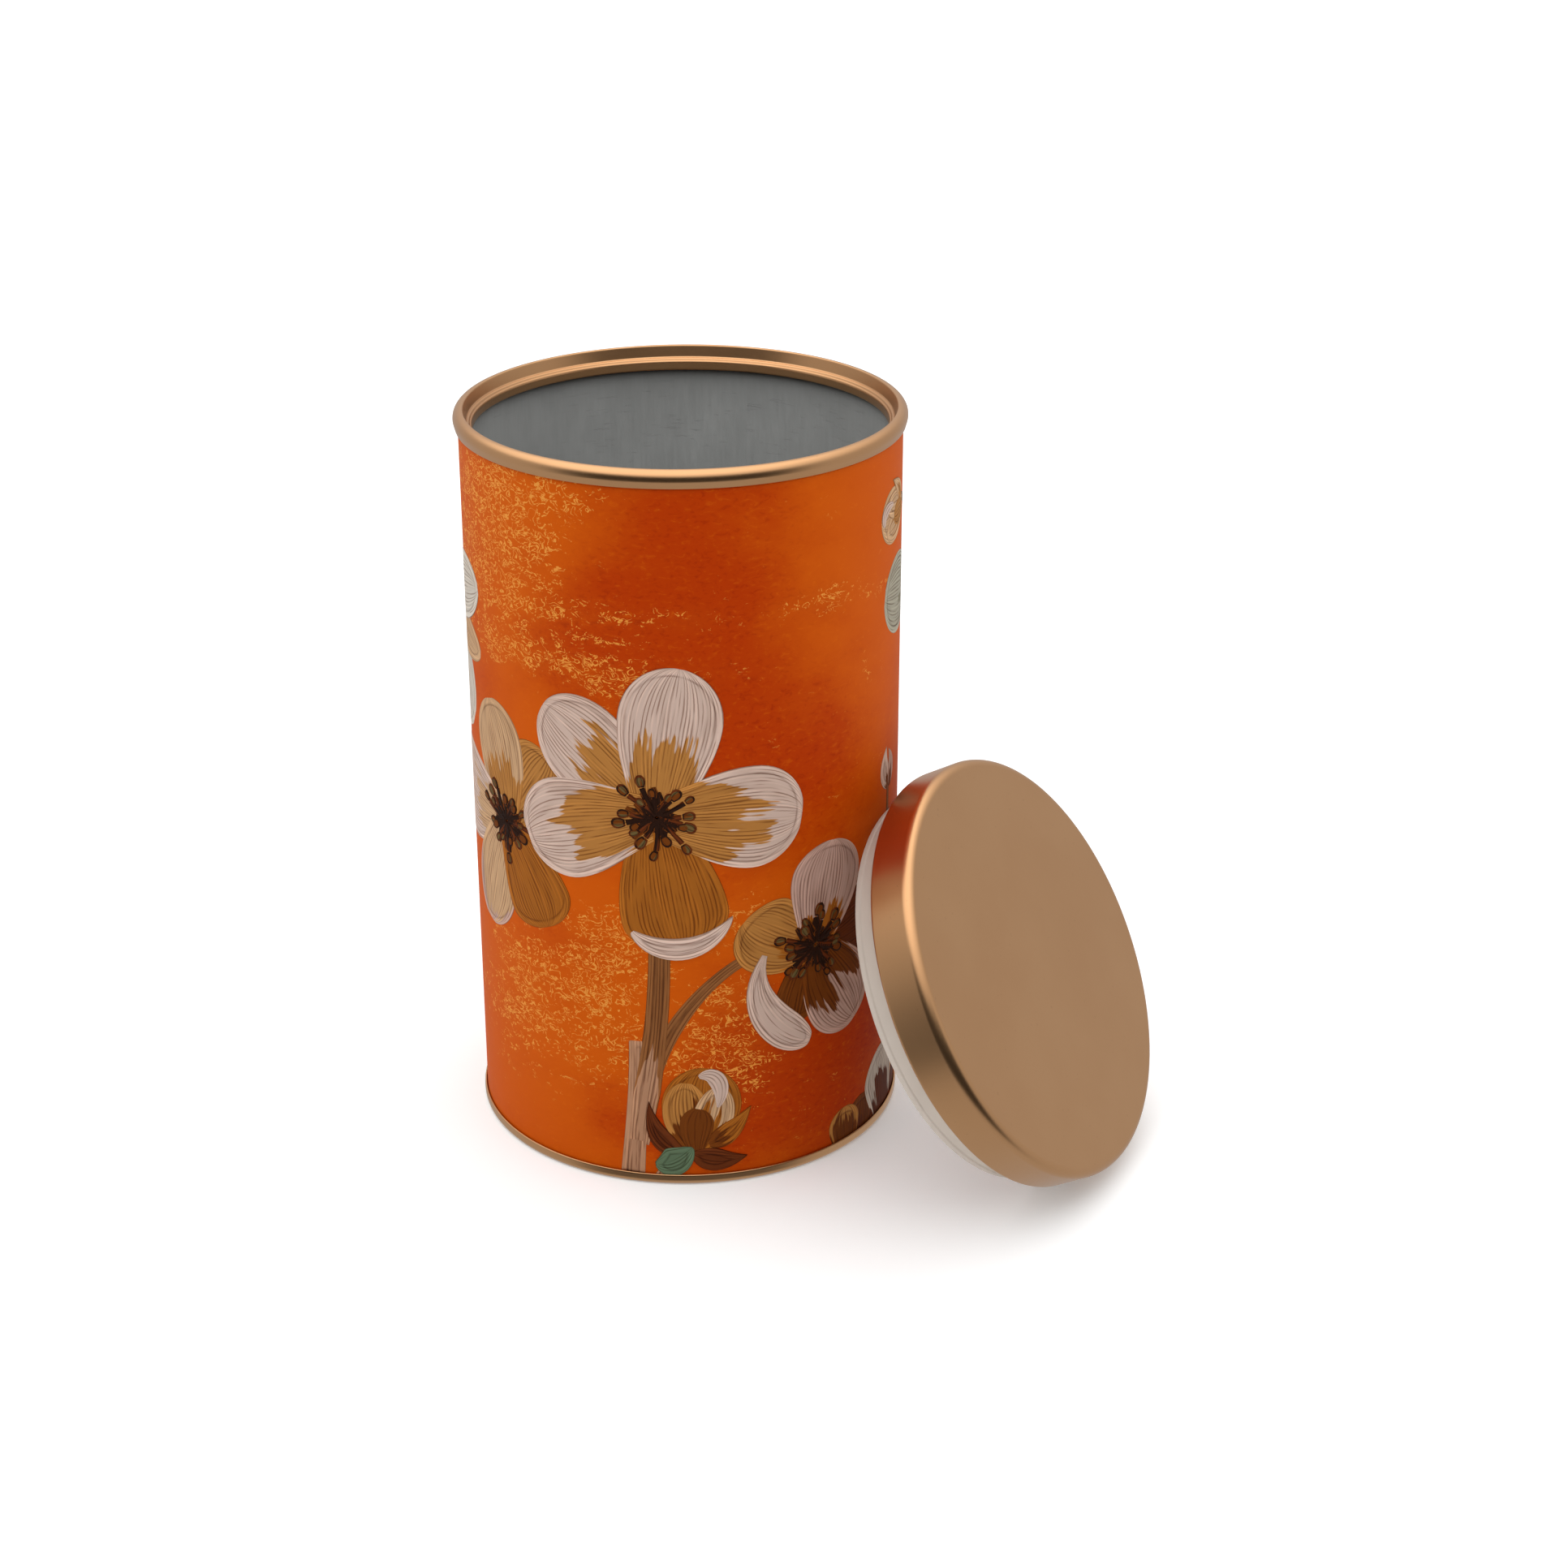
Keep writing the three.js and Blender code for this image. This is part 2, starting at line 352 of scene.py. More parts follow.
# ---- Painted forms ---------------------------------------------------------------------------
# Petals, stems and leaves are printed in thick ink that stands a few hundredths of a millimetre proud.
# Each form is a thin closed pillow, brushed lengthwise, and forms that overlap lie one over the other.

INK_TUCK = 0.03
INK_LAYER = 0.022
INK_JOIN = 1e-7
EDGE_SLOPE = 60  # a form stands at full height one part in this many from its edge

printing = Look("thick_ink", Roughness=0.55, Specular_IOR_Level=0.04)
grain = read(printing, "grain", "Vector")


def brush(width, length, detail=2.0):
    """Noise drawn out along the form's own length, in streaks of that width and length in millimetres."""
    scale = {"Vector": grain, "Scale": (1 / width, 1 / length, 1)}
    return printing.noise(printing.add("ShaderNodeMapping", {}, scale), detail=detail)


sideways = printing.add("ShaderNodeSeparateXYZ", {}, {"Vector": grain}, "X")
combed = (sideways * 8.2 + brush(1.6, 16) * 9).math("SINE")
bristles = brush(0.7, 26)
tufts = brush(3.4, 12)
washes = brush(2.6, 12)
hairs = combed.rises(0.35, 0.95) * brush(1.1, 9).rises(0.38, 0.56)
pale_hairs = combed.rises(-0.3, -0.95) * brush(1.3, 12).rises(0.42, 0.6)
rim = read(printing, "rim")
uneven = brush(4, 5).rises(0.3, 0.62)
edge = (read(printing, "wash") + (bristles - 0.5) * 13 + (tufts - 0.5) * 24).rises(-0.6, 0.6)
paint = printing.blend(edge, read(printing, "inner", "Color"), read(printing, "outer", "Color"))
paint = printing.blend(washes.rises(0.5, 0.8) * 0.35, paint, (0.45, 0.36, 0.3, 1), "MULTIPLY")
paint = printing.blend(hairs * 0.8, paint, (0.42, 0.32, 0.27, 1), "MULTIPLY")
paint = printing.blend(pale_hairs * 0.5, paint, (1.45, 1.4, 1.36, 1), "MULTIPLY")
crest = rim.rises(1.3, 0.9) * (0.45 + uneven * 0.55)
# The groove just inside the pale crest is pressed down and also darkened in colour: a painted shade line
# along the inside of the raised ink rim.
shaded_groove = abs(rim - 1.45).rises(0.26, 0.06) * (0.3 + uneven * 0.7)
paint = printing.blend(shaded_groove * 0.6, paint, (0.45, 0.36, 0.33, 1), "MULTIPLY")
paint = printing.blend(crest * 0.5, paint, (1.4, 1.4, 1.4, 1), "MULTIPLY")
paint = printing.blend(rim.rises(0.22, 0.08) * 0.75, paint, (0.42, 0.3, 0.2, 1), "MULTIPLY")
printing.paint(Base_Color=paint)
printing.relief(pale_hairs * 0.3 - hairs * 0.6 + crest - shaded_groove * 0.5, 0.07, 0.7)

NO_RIM = 5.0
WHITE, BLUSH, PEARL = ink(200, 174, 160), ink(186, 152, 138), ink(200, 190, 177)
TAN, SAND, OCHRE = ink(174, 118, 58), ink(192, 154, 116), ink(158, 92, 28)
UMBER, COCOA, SOOT = ink(110, 56, 14), ink(98, 46, 18), ink(44, 24, 15)
BARK, DRIFT, OLIVE = ink(132, 84, 46), ink(172, 128, 98), ink(100, 82, 48)
SAGE, MOSS, LICHEN = ink(162, 156, 138), ink(92, 112, 86), ink(126, 118, 96)


def curve(points, share):
    """Bernstein's formula: each point weighs its binomial times share^k times (1 - share)^(n - k)."""
    n = len(points) - 1
    weights = [math.comb(n, k) * share**k * (1 - share) ** (n - k) for k in range(n + 1)]
    return np.stack(weights, axis=1) @ np.array(points, float)


def ahead(base, heading, length, bend=0.0):
    """Three points from base along the heading, clockwise from straight up, the middle one bent aside."""
    turn = math.radians(heading)
    along = np.array([math.sin(turn), math.cos(turn)]) * length
    side = np.array([along[1], -along[0]])
    return [tuple(base), tuple(base + along / 2 + side * bend), tuple(base + along)]


def petal_width(share, foot=0.44, crown=0.64):
    """Widens as a quarter sine from the foot to the crown, then closes as a quarter ellipse at the tip."""
    widening = foot + (1 - foot) * np.sin(np.clip(share / crown, 0, 1) * np.pi / 2) ** 1.25
    closing = np.sqrt(np.clip(1 - np.clip((share - crown) / (1 - crown), 0, 1) ** 2, 0, None))
    return widening * closing


def flared_width(share):
    """A petal that widens nearly to its tip, which is blunt."""
    return petal_width(share, 0.46, 0.74)


def leaf_width(share, foot=0.1):
    """Half a sine with its belly moved towards the foot, which ends in a point."""
    return foot * (1 - share) + (1 - foot) * np.sin(np.pi * share**0.8)


def stem_width(share, *widths):
    """Straight from one width to the next, rounded off over the last hundredth of the length."""
    return np.interp(share, np.linspace(0, 1, len(widths)), widths) * np.clip((1 - share) / 0.01, 0, 1) ** 0.5


def form(spine, width, shape, inner, outer, reach, layer, rimmed=True, seed=0, rows=26, columns=16):
    """One brushed form. Along its spine by s and across by t, a point lies half the width times
    shape(s) times t to the side. The front stands its layers of ink over the wrap, and both faces
    meet in its edge."""
    share = np.sin(np.linspace(0, np.pi / 2, rows + 1))
    middle = curve(spine, share)
    along = np.gradient(middle, share, axis=0)
    along /= np.linalg.norm(along, axis=1)[:, None]
    side = np.stack([along[:, 1], -along[:, 0]], axis=1)
    half = width / 2 * shape(share)
    across = np.sin(np.linspace(-np.pi / 2, np.pi / 2, columns + 1))
    loop = np.concatenate([across, across[-2:0:-1]])
    front = np.concatenate([np.ones(columns + 1), np.zeros(columns - 1)])
    s, t = np.meshgrid(share, loop, indexing="ij")
    flat = middle[:, None, :] + side[:, None, :] * (half[:, None] * t)[..., None]
    rise = np.clip((1 - np.abs(t)) * EDGE_SLOPE, 0, 1)
    rise = rise * np.clip((1 - s) * EDGE_SLOPE, 0, 1) * np.clip(s * EDGE_SLOPE, 0, 1)
    proud = np.where(front > 0, rise * (INK_TUCK + INK_LAYER * layer), -rise * INK_TUCK) - INK_TUCK
    outline = np.concatenate([middle + side * half[:, None], (middle - side * half[:, None])[::-1]])
    gap = np.linalg.norm(flat.reshape(-1, 1, 2) - outline[None, :, :], axis=2).min(axis=1)
    length = np.linalg.norm(np.diff(middle, axis=0), axis=1).sum()
    return {
        "flat": flat.reshape(-1, 2),
        "proud": proud.ravel(),
        "faces": sheet_of_faces(rows + 1, len(loop))[: rows * len(loop)],
        "grain": np.stack([t * width / 2, s * length, np.full_like(s, seed * 7.3)], axis=-1).reshape(-1, 3),
        "rim": gap if rimmed else gap + NO_RIM,
        "wash": ((s - reach + 0.36 * np.abs(t) ** 3) * length).ravel(),
        "inner": np.tile(inner, (flat[..., 0].size, 1)),
        "outer": np.tile(outer, (flat[..., 0].size, 1)),
    }


def print_forms(name, forms):
    """Joins forms into one piece on the can, wrapped round it: angle = millimetres round / radius."""
    starts = np.cumsum([0] + [len(one["flat"]) for one in forms[:-1]])
    every = {key: np.concatenate([one[key] for one in forms]) for key in forms[0] if key != "faces"}
    angle = every["flat"][:, 0] / wrap_radius - np.pi / 2
    radius = wrap_radius + every["proud"]
    points = np.stack([radius * np.cos(angle), radius * np.sin(angle), every["flat"][:, 1]], axis=1)
    faces = np.concatenate([one["faces"] + start for one, start in zip(forms, starts)])
    piece = loose_mesh(name, on_can(points), faces)
    for key, kind in (("grain", "FLOAT_VECTOR"), ("rim", "FLOAT"), ("wash", "FLOAT")):
        store(piece, key, kind, every[key])
    for key in ("inner", "outer"):
        store(piece, key, "FLOAT_COLOR", every[key])
    weld(piece, printing, INK_JOIN)
    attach(piece, "can")


# ---- Blossoms --------------------------------------------------------------------------------
# Five broad petals each, white at the tip and tan where the dry brush ran out from the heart, with a
# dark heart of short strokes and a ring of thin stamens that end in olive knobs.

# Each has its middle, its first layer of ink, and its petals from the lowest up: heading, length,
# width, bend, reach of the inner colour, inner and outer colour.
BLOSSOMS = {
    "blossom_left": ((-38, 69.5), 0, [
        (36, 21, 15, 0.0, 1.3, TAN, TAN), (-13, 24, 17, 0.05, 0.55, TAN, SAND),
        (-89, 30, 20, 0.0, 0.45, SAND, WHITE), (-160, 25.5, 16, 0.06, 0.9, SAND, BLUSH),
        (150, 21.5, 17, -0.06, 1.3, OCHRE, TAN)]),
    "blossom_front": ((-4, 77.5), 7, [
        (171, 27.6, 20.5, 0.02, 1.3, OCHRE, TAN), (-50, 29.5, 18.5, 0.05, 0.58, TAN, WHITE),
        (9, 29.5, 19.5, -0.02, 0.5, TAN, WHITE), (-107, 28.8, 20, 0.07, 0.6, TAN, WHITE),
        (94, 28, 20.5, -0.03, 0.66, TAN, WHITE)]),
    "blossom_right": ((27, 47.5), 0, [
        (76, 25, 18, 0.06, 0.7, COCOA, BLUSH), (-163, 16, 10, 0.1, 1.3, UMBER, UMBER),
        (150, 22.5, 17.5, 0.04, 0.62, UMBER, BLUSH), (-62, 17, 16, -0.12, 0.3, OCHRE, TAN),
        (12, 21, 17.5, 0.04, 0.3, OCHRE, BLUSH)]),
    "blossom_far_left": ((-77, 104), 0, [
        (127, 31, 20, 0.0, 0.3, SAND, PEARL), (97, 31, 9, -0.03, 0.6, OCHRE, SAND),
        (73, 32, 13.5, -0.05, 0.3, TAN, PEARL), (-10, 26, 18, 0.0, 0.5, TAN, WHITE),
        (-84, 27, 18, 0.0, 0.55, TAN, WHITE), (-152, 26, 18, 0.0, 0.6, TAN, BLUSH)]),
    "blossom_back_right": ((97, 90), 0, [
        (152, 27, 20, 0.04, 1.3, OCHRE, TAN), (5, 29, 20, 0.0, 0.55, TAN, WHITE),
        (78, 28, 19, 0.04, 0.6, TAN, WHITE), (-66, 28, 19, -0.04, 0.6, TAN, WHITE),
        (-140, 27, 19, 0.0, 0.62, TAN, WHITE)]),
    "blossom_back": ((129, 42), 0, [
        (30, 23, 16, 0.0, 1.3, TAN, TAN), (102, 24, 17, 0.0, 0.6, SAND, BLUSH),
        (172, 24, 16, 0.0, 0.8, OCHRE, SAND), (-118, 24, 17, 0.05, 0.55, TAN, WHITE),
        (-44, 23, 16, 0.0, 0.5, TAN, WHITE)]),
    "blossom_back_left": ((-97, 47), 0, [
        (160, 25, 18, 0.0, 1.3, OCHRE, TAN), (18, 26, 18, 0.0, 0.5, TAN, WHITE),
        (88, 24, 17, 0.0, 0.6, TAN, BLUSH), (-56, 25, 17, 0.0, 0.6, TAN, WHITE),
        (-128, 25, 18, 0.0, 0.55, TAN, WHITE)]),
}
STAMENS = 18
HEART_STROKES = 28
TURN_SPREAD = 9  # degrees that a stroke or stamen strays from its even turn


def heart(middle, layer):
    """Stamens and short dark strokes that leave the middle at even turns, each a little off its turn."""
    draw = np.random.default_rng(int(abs(middle[0]) * 10))
    made = []
    for turn in range(HEART_STROKES):
        heading = turn * 360 / HEART_STROKES + draw.uniform(-TURN_SPREAD, TURN_SPREAD)
        length = draw.uniform(2.6, 6.4)
        stroke = ahead(np.array(middle), heading, length, draw.uniform(-0.15, 0.15))
        taper = (lambda s: stem_width(s, 1.0, 1.0, 0.35))
        made.append(form(stroke, 2.9, taper, SOOT, UMBER, 0.9, layer, False, turn, 8, 4))
    for turn in range(STAMENS):
        heading = turn * 360 / STAMENS + draw.uniform(-TURN_SPREAD, TURN_SPREAD)
        length = draw.uniform(2.8, 7.6)
        bend = draw.uniform(-0.1, 0.1)
        filament = ahead(np.array(middle), heading, length, bend)
        thread = (lambda s: stem_width(s, 1.0, 0.7, 1.0))
        made.append(form(filament, 1.4, thread, SOOT, COCOA, 0.9, layer + 1, False, turn, 10, 4))
        lean = heading + draw.uniform(-25, 25)
        knob_size = draw.uniform(0.75, 1.15)
        back = ahead(np.array(filament[2]), lean + 180, 0.3 * knob_size)[2]
        shadow = ahead(np.array(back), lean, 2.8 * knob_size)
        knob = ahead(np.array(filament[2]), lean, 2.1 * knob_size)
        dark = (petal_width, SOOT, COCOA, 0.5, layer + 2, False, turn, 8, 8)
        light = (petal_width, UMBER, OLIVE, 0.45, layer + 3, False, turn, 8, 8)
        made += [form(shadow, 2.0 * knob_size, *dark), form(knob, 1.4 * knob_size, *light)]
    return made


for name, (middle, lift, petals) in BLOSSOMS.items():
    forms = []
    for order, (heading, length, width, bend, reach, inner, outer) in enumerate(petals):
        spine = ahead(np.array(middle), heading, length, bend)
        seed = order + abs(middle[0])
        shape = flared_width if reach > 1 else petal_width
        forms.append(form(spine, width, shape, inner, outer, reach, lift + order + 1, True, seed))
    forms += heart(middle, lift + len(petals) + 2)
    print_forms(name, forms)


# ---- Folded petal edges ----------------------------------------------------------------------
# Two petals curl over at the tip, so that their white backs show as a crescent and as a long sickle.


def fold_width(share):
    """A whole half sine, pointed at both ends."""
    return np.sin(np.pi * share) ** 0.7


def sickle_width(share):
    """A petal with a narrow foot and its belly past the middle."""
    return petal_width(share, 0.12, 0.72)


crescent_spine = [(-9.6, 54.4), (-5.5, 49.4), (4.5, 48.6), (9.8, 57)]
sickle_spine = [(16.4, 48.6), (11.6, 40), (17.5, 31), (26, 27.6)]
print_forms("folded_petals", [
    form(crescent_spine, 4.6, fold_width, WHITE, WHITE, -1, 13, True, 3),
    form(sickle_spine, 8, sickle_width, BLUSH, WHITE, -1, 9, True, 5),
])


# ---- Stems, buds and leaves ------------------------------------------------------------------
# The branches rise from the bottom seam in long bristle strokes, and carry buds wrapped in brown
# scales and a few leaves.


def stem(points, *widths, layer=1, seed=0, tones=(DRIFT, BARK)):
    """A branch: a ribbon through the points, whose width goes from one of the widths to the next."""
    widest = max(widths)
    taper = (lambda s: stem_width(s, *[w / widest for w in widths]))
    return form(points, widest, taper, tones[0], tones[1], 0.55, layer, True, seed, 40, 8)


print_forms("stems", [
    stem([(-10, 1.4), (-9.2, 12), (-8.4, 20), (-8.4, 31)], 5, 4.4, 4.0, 3.8,
         layer=2, seed=1, tones=(DRIFT, DRIFT)),
    stem([(-8.6, 8), (-7.4, 20), (-4.2, 30), (-4, 51)], 4, 5.4, 4.6, 4.2, layer=3, seed=2),
    stem([(-5.5, 24), (-2.5, 35), (6, 46.5), (15, 48.5)], 3.4, 3.2, 2.4, 2.2,
         layer=1, seed=3, tones=(BARK, BARK)),
    stem([(-4.6, 1.4), (-4, 3.2), (-3, 4)], 2.2, 1.6, layer=2, seed=4),
    stem([(51.4, 62), (50.6, 67), (51, 73)], 1.6, 1.1, layer=1, seed=5),
    stem([(92, 1.4), (84, 26), (94, 60), (97, 82)], 6, 5, 4.2, 3.4, layer=1, seed=6),
    stem([(90, 22), (100, 34), (112, 32), (122, 40)], 3.4, 2.6, 2.2, layer=2, seed=7),
    stem([(86, 96), (74, 120), (66, 126), (57, 128)], 2.6, 2.0, 1.6, layer=1, seed=8),
    stem([(-108, 1.4), (-100, 16), (-104, 30), (-98, 44)], 5, 4.4, 3.6, 3.0, layer=1, seed=9),
    stem([(-96, 52), (-118, 66), (-124, 84), (-119, 98)], 2.6, 2.2, 1.8, layer=1, seed=10),
    stem([(-96, 60), (-84, 74), (-84, 90), (-78, 100)], 2.6, 2.2, 2.0, layer=1, seed=11),
])


def bud(base, heading, size, layer, seed, tones=(UMBER, OCHRE, TAN)):
    """A closed bud: a round back petal, two wrapping petals, and a white fold between them."""
    foot = np.array(base, float)
    back = ahead(foot, heading + 4, 1.0 * size, 0.0)
    left = ahead(foot, heading - 9, 0.84 * size, -0.12)
    right = ahead(foot, heading + 15, 0.8 * size, 0.12)
    low = ahead(foot, heading + 2, 0.52 * size, -0.08)
    turn = math.radians(heading)
    up = np.array([math.sin(turn), math.cos(turn)]) * size
    out = np.array([up[1], -up[0]])
    fold = [tuple(foot + up * y + out * x) for x, y in ((-0.02, 0.88), (0.16, 1.0), (0.3, 0.78), (0.2, 0.52))]
    flare = [tuple(foot + up * y + out * x) for x, y in ((0.1, 0.1), (0.34, 0.16), (0.56, 0.52))]
    round_petal = (lambda s: petal_width(s, 0.4, 0.55))
    return [
        form(back, 0.84 * size, round_petal, tones[0], tones[1], 0.3, layer, True, seed),
        form(left, 0.5 * size, round_petal, tones[0], tones[2], 0.6, layer + 1, True, seed + 1),
        form(right, 0.44 * size, round_petal, tones[1], SAND, 0.6, layer + 2, True, seed + 2),
        form(fold, 0.19 * size, fold_width, WHITE, WHITE, -1, layer + 3, False, seed + 3),
        form(flare, 0.26 * size, leaf_width, tones[0], tones[1], 0.5, layer + 4, True, seed + 5),
        form(low, 0.36 * size, petal_width, tones[0], tones[0], 0.5, layer + 5, False, seed + 4),
    ]


def leaf(points, width, inner, outer, layer, seed, shape=leaf_width):
    return form(points, width, shape, inner, outer, 0.5, layer, True, seed)


def blade(base, aim, width, taper, inner, outer, reach, layer, seed):
    """A broad leaf or a petal's end: aim is its heading, length and bend, taper its foot and crown."""
    spine = ahead(np.array(base), *aim)
    return form(spine, width, lambda s: petal_width(s, *taper), inner, outer, reach, layer, True, seed)


print_forms("front_bud", bud((2.5, 7), 2, 18.4, 4, 20) + [
    leaf([(0.5, 7), (-6, 8), (-6.6, 18)], 4.6, COCOA, COCOA, 9, 31),
    leaf([(1.5, 7), (6, 4), (12.4, 5.4)], 5.2, COCOA, COCOA, 9, 32),
    leaf([(-5.6, 4.6), (-2, 3.6), (1.8, 8.2)], 6.4, MOSS, MOSS, 10, 33, fold_width),
])
print_forms("edge_buds", [
    *bud((59, 126.4), -97, 13.2, 2, 40, (TAN, SAND, SAND)),
    leaf([(51, 71.4), (47.6, 76), (50, 80.4)], 4.6, UMBER, WHITE, 2, 50),
    leaf([(51.2, 71.4), (54, 76), (51, 79.6)], 3.4, UMBER, BLUSH, 3, 51),
    *bud((-119, 96), -6, 17, 2, 60),
    *bud((122, 112), 24, 16, 2, 70),
])
print_forms("leaves", [
    blade((69, 107.5), (-81, 21.6, 0.0), 16, (0.5, 0.6), LICHEN, SAGE, 0.4, 1, 80),
    leaf([(-99, 22), (-84, 24), (-74, 12)], 9, MOSS, SAGE, 2, 81),
    leaf([(-118, 68), (-130, 72), (-138, 62)], 8, MOSS, SAGE, 2, 82),
    leaf([(92, 50), (78, 56), (70, 44)], 10, MOSS, SAGE, 2, 83),
    leaf([(84, 118), (94, 132), (110, 134)], 9, MOSS, SAGE, 2, 84),
    blade((41, 1.4), (4, 8, 0), 10, (0.8, 0.5), COCOA, UMBER, 0.5, 1, 90),
    blade((35.5, 1.4), (-4, 7.6, 0), 9, (0.8, 0.5), UMBER, TAN, 0.4, 2, 91),
    blade((58, 1.4), (12, 12, 0), 12, (0.8, 0.5), COCOA, TAN, 0.5, 2, 92),
    blade((50, 1.4), (-12, 15, 0.1), 14, (0.7, 0.6), COCOA, PEARL, 0.45, 3, 93),
])


# ---- Top ring --------------------------------------------------------------------------------
# A ring pressed from copper-lacquered tinplate and clinched over the tube's top edge: a rolled bead
# outside, then a steep funnel, a stepped ledge and the short collar that takes the plug.

GAUGE = 0.4
RING_BEAD = 1.45
FUNNEL = 40.04
FUNNEL_DEPTH = 2.05
LEDGE = [(0.24, 2.33), (0.49, 2.33), (0.7, 2.68), (0.94, 2.7)]  # inward from the funnel, down from the top
LEDGE_BEND = 0.21
COLLAR = 39.0
COLLAR_TOP = 3.05


def rounded(corners, step=0.12):
    """The path through corners (radius, height, bend): each bend is an arc that meets both sides in
    a tangent, and each straight has a point near either end, which keeps it flat when it is shaded
    smooth."""
    path = [np.array(corners[0][:2], float)[None]]
    for before, (x, z, bend), after in zip(corners, corners[1:], corners[2:]):
        corner = np.array([x, z], float)
        back = np.array(before[:2]) - corner
        on = np.array(after[:2]) - corner
        back /= np.linalg.norm(back)
        on /= np.linalg.norm(on)
        half = math.acos(np.clip(back @ on, -1, 1)) / 2
        centre = corner + (back + on) / np.linalg.norm(back + on) * bend / math.sin(half)
        start = corner + back * bend / math.tan(half) - centre
        turn = math.pi - 2 * half
        way = math.copysign(1, back[1] * on[0] - back[0] * on[1])
        angle = np.linspace(0, turn * way, max(3, int(turn * bend / step)) + 1)
        x_turned = start[0] * np.cos(angle) - start[1] * np.sin(angle)
        z_turned = start[0] * np.sin(angle) + start[1] * np.cos(angle)
        path.append(centre + np.stack([x_turned, z_turned], axis=1))
    path.append(np.array(corners[-1][:2], float)[None])
    held = [path[0]]
    for before, after in zip(path, path[1:]):
        straight = after[0] - before[-1]
        near = min(0.25, 0.15 / max(np.linalg.norm(straight), 1e-6))
        held += [before[-1:] + straight * near, after[:1] - straight * near, after]
    return np.concatenate(held)


def bent(corners, gauge=GAUGE):
    """The closed outline of sheet metal bent along the corners: the path pushed half the gauge to
    either side, with a half round at each free edge. An end on the axis stays square."""
    path = rounded(corners)
    along = np.gradient(path, axis=0)
    along /= np.linalg.norm(along, axis=1)[:, None]
    side = np.stack([along[:, 1], -along[:, 0]], axis=1) * gauge / 2
    nose = np.radians([30, 60, 90, 120, 150])[:, None]
    ends = []
    for middle, out, aside in ((path[-1], along[-1], side[-1]), (path[0], -along[0], -side[0])):
        curl = middle + aside * np.cos(nose) + out * gauge / 2 * np.sin(nose)
        ends.append(curl if middle[0] > gauge else np.empty((0, 2)))
    return np.concatenate([path + side, ends[0], (path - side)[::-1], ends[1]])


copper = Look("copper_lacquer", Metallic=1.0)
satin = copper.noise(copper.place((0.35, 0.35, 0.35)), detail=4)
haze = copper.noise(copper.place((26, 26, 26)), detail=3)
specks = copper.noise(copper.place((0.8, 0.8, 0.8)), detail=2).rises(0.7, 0.76)
lacquer = copper.blend(haze.rises(0.3, 0.7), ink(210, 160, 114), ink(214, 165, 119))
lacquer = copper.blend(specks * 0.12, lacquer, ink(120, 84, 58))
copper.paint(Base_Color=lacquer, Roughness=0.26 + satin * 0.1 + haze * 0.02)
copper.relief(satin, 0.004, 0.35)

ring_low, ring_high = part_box("top_ring")
ring_top = ring_high.z / MM - GAUGE / 2
ring_outside = (ring_high.x - ring_low.x) / 2 / MM - GAUGE / 2
ring_foot = ring_low.z / MM
ring_path = [
    (ring_outside - 0.32, ring_top - 2.9, 0), (ring_outside, ring_top - 1.72, 1.0),
    (ring_outside, ring_top, RING_BEAD),
    (FUNNEL + 0.61, ring_top, 0.06), (FUNNEL, ring_top - FUNNEL_DEPTH, 0.3),
    *[(FUNNEL - inward, ring_top - down, LEDGE_BEND) for inward, down in LEDGE],
    (COLLAR, ring_top - COLLAR_TOP, LEDGE_BEND), (COLLAR, ring_foot, 0),
]
ring = turned("top_ring_sheet", bent(ring_path), copper)
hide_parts("top_ring")
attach(ring, "can")


# ---- Seam seals ------------------------------------------------------------------------------
# A bead of rubbery compound is poured into each seam before it is clinched, and fills it between the
# board's edge and the metal. Both are hidden.

compound = Look("sealing_compound", Roughness=0.6)
grit = compound.noise(compound.place((0.4, 0.4, 0.4)), detail=3)
compound.paint(Base_Color=compound.blend(grit, ink(58, 60, 62), ink(84, 86, 88)))
compound.relief(grit, 0.03)

for node in ("top_seam_seal", "bottom_seam_seal"):
    frame["nodes"][node].data.materials.clear()
    frame["nodes"][node].data.materials.append(compound.material)


# ---- Bottom end ------------------------------------------------------------------------------
# The same tinplate, pressed into a shallow pan and clinched over the tube's lower edge. Only its band
# shows outside; inside it is the can's floor, stepped down a little in the middle to stay stiff.

CHUCK_WALL = 39.4
STEP_OUTSIDE = 33.4
STEP_INSIDE = 32.9
STEP_DEPTH = 0.5

end_low, end_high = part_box("bottom_end")
end_outside = (end_high.x - end_low.x) / 2 / MM - GAUGE / 2
end_panel = end_high.z / MM - GAUGE / 2
end_path = [
    (end_outside - 0.1, 1.92, 0), (end_outside, GAUGE / 2, 0.75), (CHUCK_WALL, GAUGE / 2, 0.75),
    (CHUCK_WALL, end_panel, 0.6), (STEP_OUTSIDE, end_panel, 0.3),
    (STEP_INSIDE, end_panel - STEP_DEPTH, 0.3), (0, end_panel - STEP_DEPTH, 0),
]
end = turned("bottom_end_sheet", bent(end_path), copper)
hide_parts("bottom_end")
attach(end, "can")


# ---- Lid shell -------------------------------------------------------------------------------
# The cap, drawn from the same copper-lacquered tinplate: a flat face, a rounded shoulder and a straight
# skirt whose edge is turned in as a hem. It leans against the can with its face outwards.

LID_SHOULDER = 1.6
HEM_INSET = 0.55
HEM_HEIGHT = 1.1

lid_axis = np.array(frame["joints"][0]["axis"], float)
lid_axis /= np.linalg.norm(lid_axis)


def ends_along(node, axis):
    """How far a CAD node reaches along an axis, and the mean of its points, which lies on the axis
    of a turned node."""
    points = np.array([v.co for v in frame["nodes"][node].data.vertices])
    reach = points @ axis
    return reach.min(), reach.max(), points.mean(axis=0)


